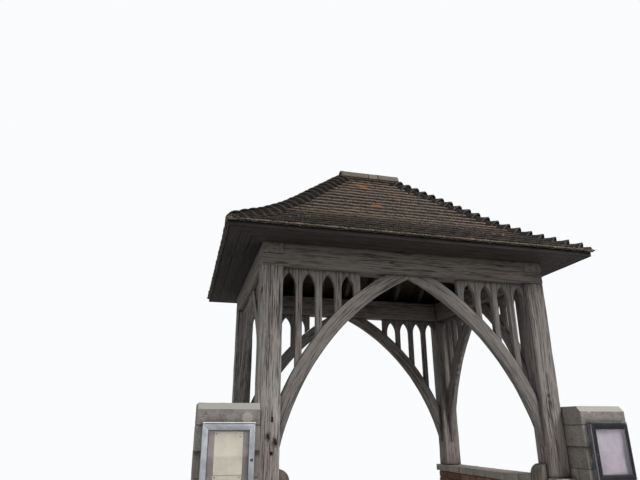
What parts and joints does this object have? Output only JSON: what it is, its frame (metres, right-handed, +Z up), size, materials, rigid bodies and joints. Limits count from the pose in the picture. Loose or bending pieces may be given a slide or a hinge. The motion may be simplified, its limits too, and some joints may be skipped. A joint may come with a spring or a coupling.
{
  "type": "lychgate",
  "caption": "Roofed timber lychgate: arch-braced oak posts on low masonry walls, hipped bell-cast tiled roof, stone-capped brick piers and notice cases at the front.",
  "frame": {"origin": "centre of the gate's plan at ground level, midway between the four posts", "axes": "+X to the right as seen from the front, +Y from the front to the back, +Z up"},
  "size_m": [3.86, 3.004, 4.4355],
  "materials": {
    "masonry": "rough flint and brick walling",
    "coping_stone": "dressed stone, weathered",
    "pier_stone": "dressed stone, weathered and lichened",
    "oak_post": "bare oak weathered silver-grey",
    "oak_frame": "bare oak weathered grey-brown",
    "roof_timber": "sawn oak, sheltered and dark",
    "roof_tile": "unglazed clay, weathered dark with lichen",
    "ridge_tile": "unglazed clay bedded in mortar",
    "case_frame": "satin mitred section",
    "case_glass": "clear sheet",
    "pin_board": "felt-covered board at the back of a case",
    "sheet": "bare sheet",
    "mortar": "lime mortar, weathered"
  },
  "bodies": {
    "gate": {"left_dwarf_wall": "masonry", "right_dwarf_wall": "masonry", "wall_copings": "coping_stone", "left_pier": "pier_stone", "right_pier": "pier_stone", "pier_caps": "pier_stone", "front_left_post": "oak_post", "front_right_post": "oak_post", "back_left_post": "oak_post", "back_right_post": "oak_post", "front_plate": "oak_frame", "back_plate": "oak_frame", "left_plate": "oak_frame", "right_plate": "oak_frame", "front_left_brace": "oak_frame", "front_right_brace": "oak_frame", "back_left_brace": "oak_frame", "back_right_brace": "oak_frame", "left_front_brace": "oak_frame", "left_back_brace": "oak_frame", "right_front_brace": "oak_frame", "right_back_brace": "oak_frame", "front_spandrels": "oak_frame", "back_spandrels": "oak_frame", "left_spandrels": "oak_frame", "right_spandrels": "oak_frame", "front_rafters": "roof_timber", "back_rafters": "roof_timber", "left_rafters": "roof_timber", "right_rafters": "roof_timber", "hip_rafters": "roof_timber", "ridge_board": "roof_timber", "front_tiling": "roof_tile", "back_tiling": "roof_tile", "left_tiling": "roof_tile", "right_tiling": "roof_tile", "bonnet_hips": "roof_tile", "ridge_tiles": "ridge_tile", "left_notice_case": "case_frame", "right_notice_case": "case_frame", "gate_posts": "oak_frame"},
    "left_door": {"left_notice_door": "case_frame", "left_notice_pane": "case_glass"},
    "right_door": {"right_notice_door": "case_frame", "right_notice_pane": "case_glass"}
  },
  "joints": [
    {"name": "left_door_hinge", "type": "hinge", "parent": "gate", "child": "left_door", "pos_m": [-1.876, -1.409, 1.23], "axis": [0, 0, -1], "range_deg": [0, 110]},
    {"name": "right_door_hinge", "type": "hinge", "parent": "gate", "child": "right_door", "pos_m": [1.876, -1.409, 1.23], "axis": [0, 0, 1], "range_deg": [0, 110]}
  ]
}
